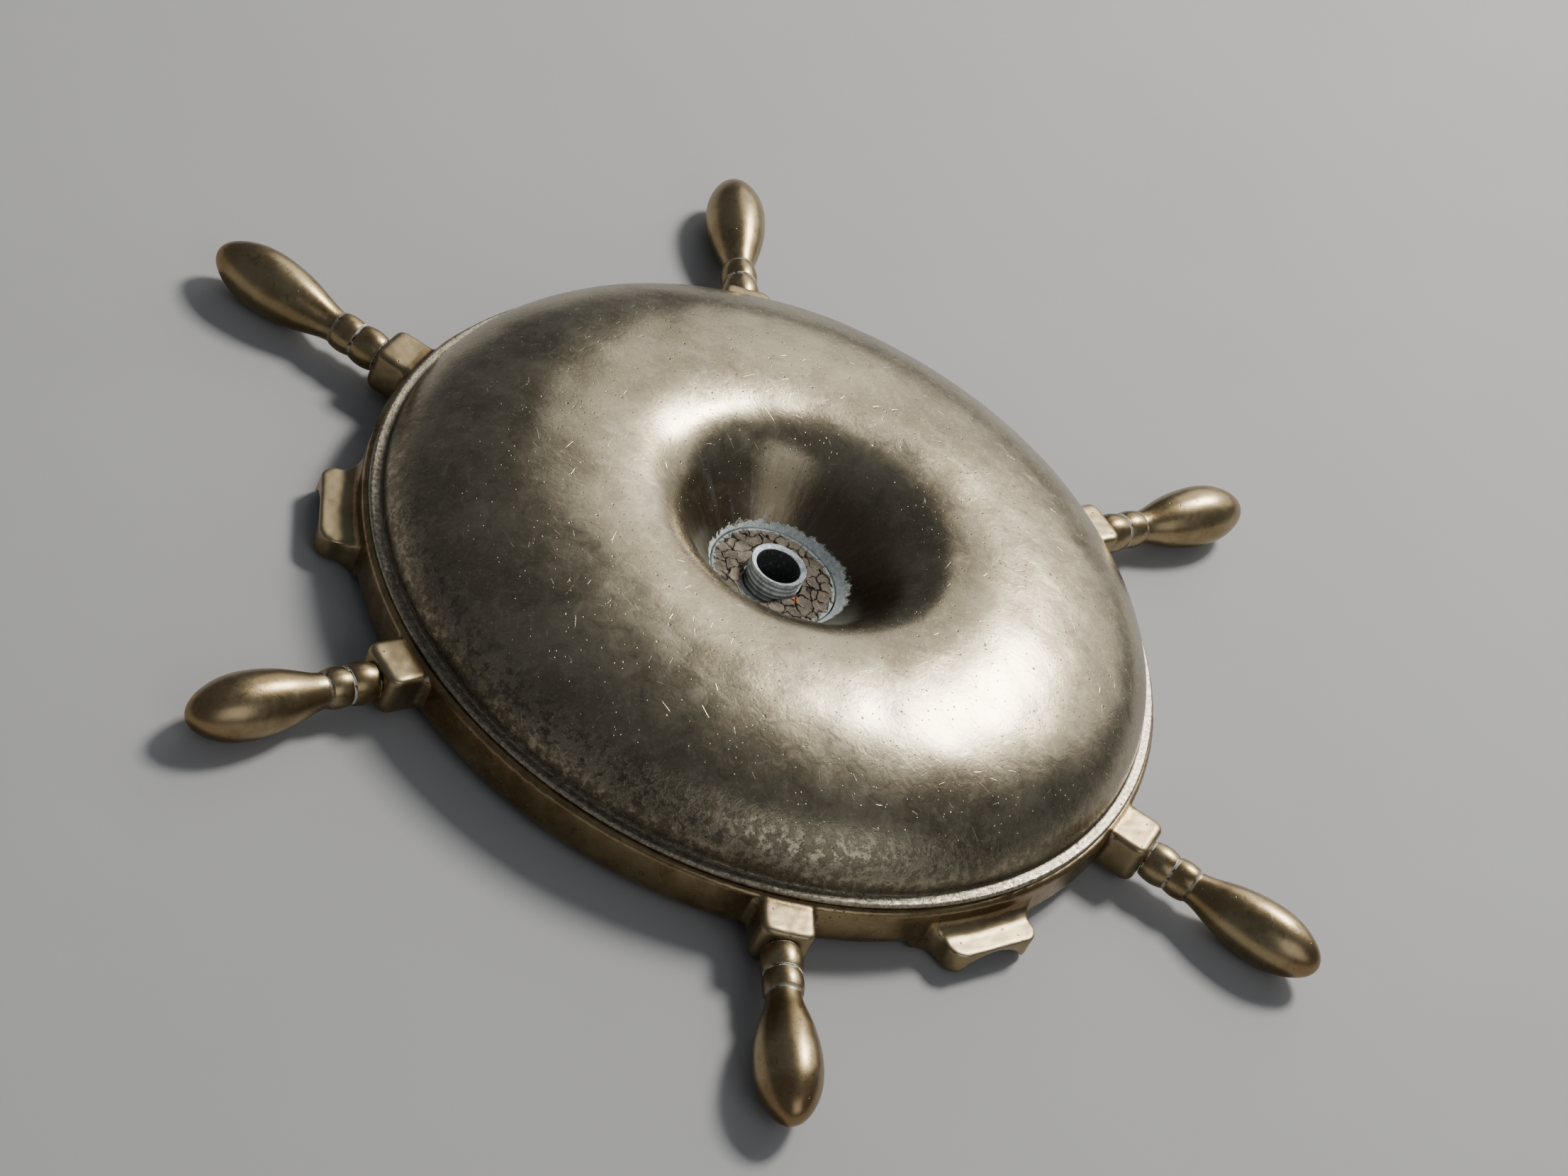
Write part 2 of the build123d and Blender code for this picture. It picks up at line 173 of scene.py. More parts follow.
def ash_bowl():
    """Bowl turned about Z: dome, flange and recess outside, ash side inside."""
    # flat crown arc, a tighter bend tangent to it, then a straight cone down to the pocket
    turned_by = math.radians(LIP_TURN)
    reach = CROWN_ROUND - LIP_R
    crown_centre = (CROWN_R, CROWN_TOP - CROWN_ROUND)
    lip_centre = (CROWN_R + reach * math.cos(turned_by), crown_centre[1] + reach * math.sin(turned_by))
    across, up = lip_centre[0] - POCKET_R, lip_centre[1] - FUNNEL_START
    slope = math.degrees(math.atan2(up, across) + math.asin(LIP_R / math.hypot(across, up)))
    lip = quarter(lip_centre, LIP_R, LIP_R, slope + 90, LIP_TURN, 34)
    outside = run((HUB_HOLE, RECESS_FLOOR), (POCKET_R, RECESS_FLOOR), 10)
    outside += run((POCKET_R, RECESS_FLOOR), (POCKET_R, FUNNEL_START), 6)[1:]
    outside += run((POCKET_R, FUNNEL_START), lip[0], 32)[1:] + lip[1:]
    outside += quarter(crown_centre, CROWN_ROUND, CROWN_ROUND, LIP_TURN, 90, 26)[1:]
    outside += quarter((CROWN_R, FLANGE_TOP), DOME_BASE_R - CROWN_R, CROWN_TOP - FLANGE_TOP, 90, 3, 84)[1:]
    outside += [(91.59, 8.1), (91.7, 7.78), (91.92, 7.52), (92.25, FLANGE_TOP), (92.8, FLANGE_TOP)]
    edge = (FLANGE_TOP - RIM_TOP) / 2
    outside += quarter((FLANGE_OUT - edge, RIM_TOP + edge), edge, edge, 90, -90, 15)
    under = run((FLANGE_OUT - 1.4, RIM_TOP), (SPIGOT_OUT, RIM_TOP), 5)
    under += run((SPIGOT_OUT, RIM_TOP - 0.4), (SPIGOT_OUT, SPIGOT_END + 0.6), 8)
    under += [(SPIGOT_OUT - 0.3, SPIGOT_END + 0.25), (SPIGOT_OUT - 0.6, SPIGOT_END)]
    under += [(SPIGOT_IN + 0.5, SPIGOT_END), (SPIGOT_IN + 0.1, SPIGOT_END + 0.2)]
    under += run((SPIGOT_IN, SPIGOT_END + 0.5), (SPIGOT_IN, RIM_TOP - 0.1), 8)
    under += quarter((CROWN_R, RIM_TOP), SPIGOT_IN - CROWN_R, CROWN_INSIDE - RIM_TOP, 0, 90, 56)
    under += quarter((CROWN_R, HUB_UNDER), CROWN_R - HUB_R, CROWN_INSIDE - HUB_UNDER, 90, 180, 50)[1:]
    under += run((HUB_R - 0.6, HUB_UNDER), (HUB_HOLE, HUB_UNDER), 10)
    profile = np.array(outside + under)
    rows, segments = len(profile), 480
    angles = np.linspace(0, 2 * math.pi, segments, endpoint=False)
    radius = np.repeat(profile[:, 0], segments)
    height = np.repeat(profile[:, 1], segments)
    turn = np.tile(angles, rows)
    points = np.stack([radius * np.cos(turn), radius * np.sin(turn), height], 1)
    tangent = np.roll(profile, -1, 0) - np.roll(profile, 1, 0)
    tangent /= np.linalg.norm(tangent, axis=1)[:, None]
    out_r = np.repeat(-tangent[:, 1], segments)
    out_h = np.repeat(tangent[:, 0], segments)
    normal = np.stack([out_r * np.cos(turn), out_r * np.sin(turn), out_h], 1)
    is_dome = np.repeat(np.arange(rows) < len(outside), segments)
    fade = np.clip((radius - 17) / 8, 0, 1) * np.clip((90.5 - radius) / 6, 0, 1)
    dents = 0.11 * ripple(points, 34, 3) + 0.045 * ripple(points, 11, 4, 14)
    cast = 0.16 * ripple(points, 18, 5) + 0.08 * ripple(points, 6, 6, 14)
    points += normal * (np.where(is_dome, dents, cast) * fade)[:, None]
    faces, owners = ring_faces(rows, segments, True)
    slots = [0 if i < len(outside) - 1 else 1 for i in owners]
    obj = mesh_object("bowl_shell", points, faces, slots, crease=35)
    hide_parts("ash_bowl")
    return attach(obj, "tray")


HANDLE_TURNING = {
    "valley": 4.2,
    "groove": (111.15, 4.02),
    "beads": ((104.7, 107.85, 111.0, 4.75), (111.3, 113.8, 116.3, 4.55)),
    "neck": (117.2, 3.9),
    "belly": ((124.0, 5.7), (134.5, 7.4), (144.5, 5.75)),
    "tip": (150.0, 0.0),
}


def bead_arc(start, middle, end, crest, valley, steps=15):
    half = (end - start) / 2
    rise = crest - valley
    big = (half * half + rise * rise) / (2 * rise)
    reach = math.asin(half / big)
    turns = np.linspace(-reach, reach, steps)
    return [(middle + big * math.sin(t), crest - big + big * math.cos(t)) for t in turns]


def handle(number, azimuth):
    shape = HANDLE_TURNING
    valley = shape["valley"]
    bore = [(116.4, 0.0), (116.4, 2.55), (104.45, 2.55)]
    outer = [(104.45, 3.85), (104.58, 3.95)]
    for start, middle, end, crest in shape["beads"]:
        outer += bead_arc(start, middle, end, crest, valley)
        if start < 110:
            outer.append(shape["groove"])
    outer += [(116.5, 4.02), (116.85, 3.9)]
    belly = clamped_spline([shape["neck"], *shape["belly"], shape["tip"]], (1, 0.12), (0, -1), 78)
    profile = np.array(bore + outer + list(belly))
    rows, segments = len(profile), 84
    turn = np.tile(np.linspace(0, 2 * math.pi, segments, endpoint=False), rows)
    reach = np.repeat(profile[:, 0], segments)
    radius = np.repeat(np.maximum(profile[:, 1], 0.0), segments)
    local = np.stack([reach, radius * np.cos(turn), radius * np.sin(turn)], 1)
    grow = np.clip((radius - 3) / 4, 0, 1) * np.minimum(0.05 * ripple(local, 9, 20 + number), 0)
    local[:, 1] *= 1 + grow / np.maximum(radius, 1)
    local[:, 2] *= 1 + grow / np.maximum(radius, 1)
    faces, _ = ring_faces(rows, segments, False)
    spin = np.radians(azimuth)
    points = local.copy()
    points[:, 0] = local[:, 0] * math.cos(spin) - local[:, 1] * math.sin(spin)
    points[:, 1] = local[:, 0] * math.sin(spin) + local[:, 1] * math.cos(spin)
    obj = mesh_object(f"handle_turned_{number}", points, faces, crease=38)
    weld(obj)
    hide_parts(f"handle_{number}")
    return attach(obj, "tray")


def weld(obj, distance=0.002):
    """Merges the points of rows that meet on an axis, and turns the faces outward."""
    mesh = bmesh.new()
    mesh.from_mesh(obj.data)
    bmesh.ops.remove_doubles(mesh, verts=mesh.verts, dist=distance * MM)
    bmesh.ops.dissolve_degenerate(mesh, edges=mesh.edges, dist=distance * MM)
    bmesh.ops.recalc_face_normals(mesh, faces=mesh.faces)
    mesh.to_mesh(obj.data)
    mesh.free()


def wheel_rim():
    """The rim as one soft-edged casting: remeshed from the CAD solid, then smoothed."""
    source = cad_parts["wheel_rim"]
    obj = bpy.data.objects.new("rim_casting", source.data.copy())
    bpy.context.scene.collection.objects.link(obj)
    weld(obj, 0.001)
    remesh = obj.modifiers.new("remesh", "REMESH")
    remesh.mode = "VOXEL"
    remesh.voxel_size = 0.45 * MM
    sharp = evaluated(obj)
    smooth = obj.modifiers.new("smooth", "SMOOTH")
    smooth.factor = 0.5
    smooth.iterations = 5
    soft = evaluated(obj)
    obj.modifiers.clear()
    before, after = coordinates(sharp), coordinates(soft)
    normals = np.zeros(len(sharp.vertices) * 3)
    sharp.vertices.foreach_get("normal", normals)
    bend = ((after - before) * normals.reshape(-1, 3)).sum(1)
    radius = np.hypot(after[:, 0], after[:, 1])
    for wall in (RIM_OUT, RIM_IN):
        near = np.clip(1.5 - np.abs(radius - wall) / 0.12, 0, 1)
        scale = 1 + near * (wall / radius - 1)
        after[:, 0] *= scale
        after[:, 1] *= scale
    rough = 0.05 * ripple(after, 9, 31) + 0.02 * ripple(after, 3, 32, 14)
    outside = (radius > RIM_OUT + 0.6) | (after[:, 2] < -4)
    soft_normals = np.zeros(len(soft.vertices) * 3)
    soft.vertices.foreach_get("normal", soft_normals)
    after += soft_normals.reshape(-1, 3) * (rough * outside)[:, None]
    soft.vertices.foreach_set("co", ((after + (0, 0, LIFT)) * MM).astype(np.float32).ravel())
    layer = soft.attributes.new("edge", "FLOAT", "POINT")
    layer.data.foreach_set("value", (-bend).astype(np.float32))
    obj.data = soft
    soft.polygons.foreach_set("use_smooth", [True] * len(soft.polygons))
    soft.update()
    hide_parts("wheel_rim")
    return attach(obj, "tray")


def evaluated(obj):
    graph = bpy.context.evaluated_depsgraph_get()
    graph.update()
    return bpy.data.meshes.new_from_object(obj.evaluated_get(graph))


def coordinates(mesh):
    """Vertex places in mm, h from the handle plane."""
    flat = np.zeros(len(mesh.vertices) * 3)
    mesh.vertices.foreach_get("co", flat)
    return flat.reshape(-1, 3) / MM - (0, 0, LIFT)


def hub_tube():
    """Threaded tube with a true helix that runs out below its plain, dished end."""
    segments = 144
    heights = np.concatenate([np.linspace(TUBE_TOP, LEATHER_TOP - 3, 88),
                              np.linspace(LEATHER_TOP - 3.1, TUBE_BOTTOM, 60)])
    turn = np.linspace(0, 2 * math.pi, segments, endpoint=False)
    inner = [(TUBE_BORE, h) for h in np.linspace(TUBE_BOTTOM, TUBE_TOP - TUBE_DISH - 0.1, 40)]
    inner += [(TUBE_BORE + 0.05, TUBE_TOP - TUBE_DISH)]
    inner += [(5.5 + 0.2 * i, TUBE_TOP - TUBE_DISH + 0.13 + 0.09 * i) for i in range(5)]
    inner += [(6.45, TUBE_TOP - 0.02)]
    rows = [np.stack([r * np.cos(turn), r * np.sin(turn), np.full(segments, h)], 1) for r, h in inner]
    for h in heights:
        phase = h / THREAD_PITCH + turn / (2 * math.pi) + 0.15
        valley = 0.5 - 0.5 * np.cos(2 * math.pi * phase)
        crest = TUBE_R if h > LEATHER_TOP - 0.1 else TUBE_SHANK_R
        cut = min(max((TUBE_TOP - TUBE_BAND + 0.1 - h) / 0.4, 0), 1)
        r = crest - THREAD_DEPTH * cut * valley ** 1.2
        r = np.minimum(r, TUBE_R - 0.1 + 1.2 * (TUBE_TOP - h))
        rows.append(np.stack([r * np.cos(turn), r * np.sin(turn), np.full(segments, h)], 1))
    points = np.concatenate(rows)
    radius = np.hypot(points[:, 0], points[:, 1])
    pitted = 0.035 * ripple(points, 1.6, 41, 16) + 0.02 * ripple(points, 0.8, 42, 16)
    free = np.clip((points[:, 2] - LEATHER_TOP + 3) / 0.3, 0, 1)
    scale = 1 + np.minimum(pitted, 0) * free / radius
    points[:, 0] *= scale
    points[:, 1] *= scale
    points[:, 2] += np.where(points[:, 2] > TUBE_TOP - 0.1, np.minimum(0.6 * pitted, 0), 0)
    faces, _ = ring_faces(len(rows), segments, True)
    obj = mesh_object("tube_threaded", points, faces, crease=60)
    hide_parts("hub_tube")
    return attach(obj, "hub")


def leather_washer():
    """Old leather ring whose upper face has dried into cracked plates."""
    rng = np.random.default_rng(7)
    pitch = 3.3
    count = int(2 * LEATHER_R / pitch) + 2
    grid = np.array([(i, j) for i in range(-count, count) for j in range(-count, count)], float)
    seeds = (grid + rng.uniform(-0.46, 0.46, grid.shape)) * pitch
    seeds = seeds[np.hypot(seeds[:, 0], seeds[:, 1]) < LEATHER_R + 3]
    segments = 420
    turn = np.linspace(0, 2 * math.pi, segments, endpoint=False)
    aside = turn - math.radians(TORN_AZIMUTH)
    bite = TORN_R ** 2 - (TORN_CENTRE * np.sin(aside)) ** 2
    far_side = TORN_CENTRE * np.cos(aside) + np.sqrt(np.maximum(bite, 0))
    torn = np.where((bite > 0) & (np.cos(aside) > 0), far_side, 0)
    round_edge = np.stack([9 * np.cos(turn), 9 * np.sin(turn), 0 * turn], 1)
    ragged = 0.3 * ripple(round_edge, 2.2, 58) + 0.12 * ripple(round_edge, 0.8, 59)
    torn = torn + np.where(torn > LEATHER_HOLE, ragged, 0)
    inner = np.maximum(LEATHER_HOLE, torn)
    # rows go up the hole, out over the top and down the outside; t is 0 at the hole, 1 outside
    rows = [(0.0, RECESS_FLOOR + 0.05), (0.0, 7.2), (0.0, 8.2), (0.0, LEATHER_TOP - 0.2)]
    rows += [(t, LEATHER_TOP) for t in np.linspace(0.02, 0.965, 74)]
    rows += [(0.99, LEATHER_TOP - 0.12), (1.0, LEATHER_TOP - 0.4), (1.0, 7.8), (1.0, 6.7),
             (0.97, RECESS_FLOOR), (0.5, RECESS_FLOOR)]
    points = []
    top = []
    for t, h in rows:
        r = inner + (LEATHER_R - inner) * t
        points.append(np.stack([r * np.cos(turn), r * np.sin(turn), np.full(segments, h)], 1))
        top.append(np.full(segments, 1.0 if h > LEATHER_TOP - 0.01 else 0.0))
    points, top = np.concatenate(points), np.concatenate(top)
    flat = points[:, :2].copy()
    flat[:, 0] += 0.35 * ripple(points, 2.4, 51) + 0.12 * ripple(points, 0.9, 53)
    flat[:, 1] += 0.35 * ripple(points, 2.4, 52) + 0.12 * ripple(points, 0.9, 54)
    gaps = np.sqrt(((flat[:, None, :] - seeds[None]) ** 2).sum(2))
    gaps.sort(axis=1)
    edge = (gaps[:, 1] - gaps[:, 0]) / 2
    width = 0.16 + 0.12 * ripple(points, 5, 55)
    crack = 1 - np.clip(edge / np.maximum(width, 0.03), 0, 1)
    crack = crack * crack * (3 - 2 * crack) * top
    curl = np.clip(edge / 0.9, 0, 1)
    points[:, 2] -= (0.62 * crack + 0.10 * curl) * top
    points[:, 2] += top * (0.05 * ripple(points, 1.8, 56) - 0.04)
    faces, _ = ring_faces(len(rows), segments, True)
    obj = mesh_object("leather_ring", points, faces, attributes={"crack": crack}, crease=60)
    weld(obj)
    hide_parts("leather_washer")
    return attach(obj, "tray")


# --------------------------------------------------------------- materials
class Shader:
    """A procedural material made by short calls. Its coordinates are in mm."""

    def __init__(self, name):
        self.material = bpy.data.materials.new(name)
        self.material.use_nodes = True
        self.tree = self.material.node_tree
        self.tree.nodes.clear()
        coords = self.node("ShaderNodeTexCoord")
        self.place = self.vector("SCALE", coords.outputs["Object"], scale=1 / MM)
        split = self.node("ShaderNodeSeparateXYZ")
        self.feed(split.inputs[0], self.place)
        self.x, self.y = split.outputs[0], split.outputs[1]
        self.h = self.math("SUBTRACT", split.outputs[2], LIFT)
        square_x = self.math("MULTIPLY", self.x, self.x)
        square_y = self.math("MULTIPLY", self.y, self.y)
        self.radius = self.math("SQRT", self.math("ADD", square_x, square_y))

    def node(self, kind, **settings):
        made = self.tree.nodes.new(kind)
        for key, value in settings.items():
            setattr(made, key, value)
        return made

    def feed(self, socket, value):
        if isinstance(value, bpy.types.NodeSocket):
            self.tree.links.new(value, socket)
        elif isinstance(value, tuple) and len(value) == 3 and socket.type == "RGBA":
            socket.default_value = (*value, 1)
        else:
            socket.default_value = value

    def math(self, operation, a, b=0.0, c=0.0, clamp=False):
        made = self.node("ShaderNodeMath", operation=operation, use_clamp=clamp)
        for socket, value in zip(made.inputs, (a, b, c)):
            self.feed(socket, value)
        return made.outputs[0]

    def vector(self, operation, a, b=None, scale=None):
        made = self.node("ShaderNodeVectorMath", operation=operation)
        self.feed(made.inputs[0], a)
        if b is not None:
            self.feed(made.inputs[1], b)
        if scale is not None:
            self.feed(made.inputs["Scale"], scale)
        return made.outputs["Value"] if operation in ("LENGTH", "DOT_PRODUCT") else made.outputs[0]

    def times(self, *values):
        total = values[0]
        for value in values[1:]:
            total = self.math("MULTIPLY", total, value)
        return total

    def plus(self, *values):
        total = values[0]
        for value in values[1:]:
            total = self.math("ADD", total, value)
        return total

    def invert(self, value):
        return self.math("SUBTRACT", 1.0, value)

    def step(self, value, low, high, to_low=0.0, to_high=1.0):
        """Smooth step from low to high, which may be given in either order."""
        if low > high:
            low, high, to_low, to_high = high, low, to_high, to_low
        made = self.node("ShaderNodeMapRange", interpolation_type="SMOOTHSTEP")
        for socket, number in zip(made.inputs[:5], (value, low, high, to_low, to_high)):
            self.feed(socket, number)
        return made.outputs[0]

    def noise(self, size, detail=3.0, rough=0.55, warp=0.0, shift=(0, 0, 0), stretch=(1, 1, 1)):
        """Noise of the given feature size in mm, 0..1."""
        where = self.place
        if stretch != (1, 1, 1):
            where = self.vector("MULTIPLY", where, stretch)
        if shift != (0, 0, 0):
            where = self.vector("ADD", where, shift)
        made = self.node("ShaderNodeTexNoise")
        self.feed(made.inputs["Vector"], where)
        self.feed(made.inputs["Scale"], 1.0 / size)
        self.feed(made.inputs["Detail"], detail)
        self.feed(made.inputs["Roughness"], rough)
        self.feed(made.inputs["Distortion"], warp)
        return made.outputs[0]

    def cells(self, size, feature="F1", flat=False, shift=(0, 0, 0)):
        where = self.vector("ADD", self.place, shift)
        made = self.node("ShaderNodeTexVoronoi", feature=feature, voronoi_dimensions="2D" if flat else "3D")
        self.feed(made.inputs["Vector"], where)
        self.feed(made.inputs["Scale"], 1.0 / size)
        return made, where

    def pits(self, spacing, radius, share, shift=(0, 0, 0)):
        """Round pits of about the given radius at a share of the cells, 0..1."""
        made, _ = self.cells(spacing, shift=shift)
        split = self.node("ShaderNodeSeparateColor")
        self.feed(split.inputs[0], made.outputs["Color"])
        gap = self.math("MULTIPLY", made.outputs["Distance"], spacing)
        hole = self.step(gap, radius, radius * 0.35)
        chosen = self.math("LESS_THAN", split.outputs[0], share)
        return self.times(hole, chosen)

    def scratches(self, spacing, length, width, share, shift):
        """Short straight scratches in random directions, seen along Z, 0..1."""
        made, where = self.cells(spacing, flat=True, shift=shift)
        split = self.node("ShaderNodeSeparateColor")
        self.feed(split.inputs[0], made.outputs["Color"])
        away = self.node("ShaderNodeSeparateXYZ")
        self.feed(away.inputs[0], self.vector("SUBTRACT", where, made.outputs["Position"]))
        turn = self.math("MULTIPLY", split.outputs[0], math.pi)
        cos, sin = self.math("COSINE", turn), self.math("SINE", turn)
        along = self.plus(self.times(away.outputs[0], cos), self.times(away.outputs[1], sin))
        across = self.math("SUBTRACT", self.times(away.outputs[1], cos), self.times(away.outputs[0], sin))
        line = self.step(self.math("ABSOLUTE", across), width, width * 0.3)
        ends = self.step(self.math("ABSOLUTE", along), length * 0.5, length * 0.2)
        chosen = self.math("LESS_THAN", split.outputs[1], share)
        return self.times(line, ends, chosen)

    def spokes(self, reach, size):
        """Streaks that run straight down the recess wall, 0..1."""
        flat, drop = self.node("ShaderNodeCombineXYZ"), self.node("ShaderNodeCombineXYZ")
        self.feed(flat.inputs[0], self.x)
        self.feed(flat.inputs[1], self.y)
        self.feed(drop.inputs[2], self.math("MULTIPLY", self.h, 0.09))
        unit = self.vector("SCALE", self.vector("NORMALIZE", flat.outputs[0]), scale=reach)
        made = self.node("ShaderNodeTexNoise")
        self.feed(made.inputs["Vector"], self.vector("ADD", unit, drop.outputs[0]))
        self.feed(made.inputs["Scale"], 1.0 / size)
        self.feed(made.inputs["Detail"], 4.0)
        self.feed(made.inputs["Roughness"], 0.6)
        return made.outputs[0]

    def attribute(self, name):
        made = self.node("ShaderNodeAttribute", attribute_name=name, attribute_type="GEOMETRY")
        return made.outputs["Fac"]

    def mix(self, factor, a, b, kind="MIX"):
        made = self.node("ShaderNodeMix", data_type="RGBA", blend_type=kind)
        self.feed(made.inputs[0], factor)
        self.feed(made.inputs[6], a)
        self.feed(made.inputs[7], b)
        return made.outputs[2]

    def finish(self, colour, roughness, metallic, relief=None):
        """Ends the material. relief is a height in mm."""
        shader = self.node("ShaderNodeBsdfPrincipled")
        self.feed(shader.inputs["Base Color"], colour)
        self.feed(shader.inputs["Roughness"], roughness)
        self.feed(shader.inputs["Metallic"], metallic)
        if relief is not None:
            bump = self.node("ShaderNodeBump")
            bump.inputs["Strength"].default_value = 1.0
            bump.inputs["Distance"].default_value = MM
            self.feed(bump.inputs["Height"], relief)
            self.feed(shader.inputs["Normal"], bump.outputs[0])
        output = self.node("ShaderNodeOutputMaterial")
        self.feed(output.inputs["Surface"], shader.outputs[0])
        return self.material


def dome_brass():
    s = Shader("dome_brass")
    cloud = s.noise(24, 4, 0.6)
    smudge = s.noise(4.2, 4, 0.68, warp=0.8)
    flake = s.noise(2.0, 4, 0.7, warp=0.6, shift=(14, 2, 8))
    grain = s.noise(0.7, 2, 0.6)
    colour = s.mix(s.step(cloud, 0.34, 0.66), (0.27, 0.224, 0.145), (0.40, 0.340, 0.228))
    colour = s.mix(s.times(s.step(smudge, 0.5, 0.74), 0.5), colour, (0.50, 0.44, 0.32))
    colour = s.mix(s.times(s.step(smudge, 0.46, 0.3), 0.4), colour, (0.18, 0.15, 0.105))
    colour = s.mix(s.times(s.step(flake, 0.58, 0.68), 0.35), colour, (0.56, 0.48, 0.31))
    colour = s.mix(s.times(s.step(grain, 0.5, 0.72), 0.25), colour, (0.60, 0.55, 0.44))
    side = s.plus(0.22, s.math("MULTIPLY", s.y, -0.0068), s.math("MULTIPLY", s.x, -0.0034))
    near_flange = s.times(s.step(s.radius, 80, 90.5), s.step(s.noise(1.9, 5, 0.72), 0.42, 0.6))
    dirt = s.math("MULTIPLY", near_flange, side, clamp=True)
    colour = s.mix(s.times(dirt, 0.85), colour, (0.085, 0.07, 0.05))
    flange = s.step(s.radius, 91.7, 92.1)
    groove = s.times(s.step(s.radius, 91.0, 91.5), s.step(s.radius, 92.1, 91.8))
    fleck = s.noise(0.9, 3, 0.7)
    grainy = s.mix(s.step(fleck, 0.36, 0.62), (0.24, 0.20, 0.14), (0.52, 0.47, 0.36))
    colour = s.mix(s.times(flange, 0.7), colour, grainy)
    colour = s.mix(s.times(groove, 0.6), colour, (0.10, 0.08, 0.055))
    pits = s.math("MAXIMUM", s.pits(1.5, 0.24, 0.5), s.pits(3.1, 0.36, 0.4, (31, 7, 3)))
    colour = s.mix(s.times(pits, 0.5), colour, (0.10, 0.085, 0.06))
    short_marks = s.scratches(4.5, 2.4, 0.13, 0.35, (3, 11, 0))
    long_marks = s.scratches(9, 4.5, 0.11, 0.3, (40, 5, 0))
    marks = s.math("MAXIMUM", short_marks, long_marks)
    colour = s.mix(s.times(marks, 0.35), colour, (0.60, 0.55, 0.43))
    # recess wall: painted shade, browner towards its foot and most on the side turned away from the key
    # light, streaked on the other
    in_recess = s.times(s.step(s.radius, 38, 33), s.step(s.h, 27, 15))
    streak = s.spokes(20, 1.5)
    # the +x wall faces away from the key light, so it gets the painted shade
    shaded_wall = s.step(s.plus(s.times(s.x, 0.9), s.times(s.y, 0.35)), -14, 16)
    # painted shade: darker towards the recess foot, much darker on the wall away from the key light
    colour = s.mix(s.times(in_recess, s.math("MULTIPLY_ADD", shaded_wall, 0.65, 0.15)), colour, (0.12, 0.085, 0.048))
    # pale streaks: real streaks, brightened as painted light and kept to the wall facing the key light
    streaks_and_painted_light = s.times(in_recess, s.step(s.h, 26, 17), s.step(streak, 0.53, 0.68), s.invert(s.times(shaded_wall, 0.9)))
    colour = s.mix(s.times(streaks_and_painted_light, 0.6), colour, (0.50, 0.50, 0.46))
    colour = s.mix(s.times(in_recess, s.step(streak, 0.46, 0.34), 0.3), colour, (0.09, 0.07, 0.045))
    wander = s.noise(2.6, 5, 0.72, shift=(9, 2, 5))
    level = s.plus(s.h, s.math("MULTIPLY_ADD", wander, 4.4, -2.2), s.times(s.x, -0.045), s.times(s.y, 0.012))
    crust = s.times(s.step(level, 11.1, 10.3), s.step(s.radius, 24, 20))
    crust_colour = s.mix(s.step(s.noise(1.1, 4, 0.7), 0.3, 0.7), (0.46, 0.52, 0.51), (0.78, 0.85, 0.83))
    patchy = s.step(s.noise(1.9, 4, 0.75, shift=(4, 4, 4)), 0.26, 0.42)
    colour = s.mix(s.times(crust, patchy), colour, crust_colour)
    rough = s.plus(0.21, s.times(smudge, 0.12), s.times(dirt, 0.14), s.times(pits, 0.15),
                   s.times(crust, 0.45), s.times(flange, 0.1), s.times(in_recess, 0.05))
    metal = s.invert(s.times(crust, 0.9))
    relief = s.plus(s.times(pits, -0.08), s.times(grain, 0.012), s.times(smudge, 0.05), s.times(marks, -0.02),
                    s.times(crust, 0.12), s.times(s.noise(1.6, 2, 0.6), s.plus(0.02, s.times(dirt, 0.14))),
                    s.times(flange, fleck, 0.1), s.times(in_recess, streak, 0.03))
    return s.finish(colour, rough, metal, relief)


def ash_side_brass():
    s = Shader("ash_side_brass")
    soot = s.noise(9, 5, 0.65, warp=0.6)
    stain = s.noise(26, 3, 0.5, shift=(5, 9, 1))
    colour = s.mix(s.step(soot, 0.36, 0.66), (0.075, 0.06, 0.045), (0.30, 0.235, 0.14))
    colour = s.mix(s.times(s.step(stain, 0.5, 0.7), 0.5), colour, (0.16, 0.15, 0.13))
    dust = s.step(s.noise(1.2, 4, 0.75), 0.55, 0.75)
    colour = s.mix(s.times(dust, 0.35), colour, (0.4, 0.38, 0.34))
    rough = s.plus(0.46, s.times(soot, 0.22), s.times(dust, 0.2))
    relief = s.plus(s.times(soot, 0.1), s.times(s.noise(0.8, 3, 0.6), 0.05))
    return s.finish(colour, rough, s.invert(s.times(dust, 0.5)), relief)


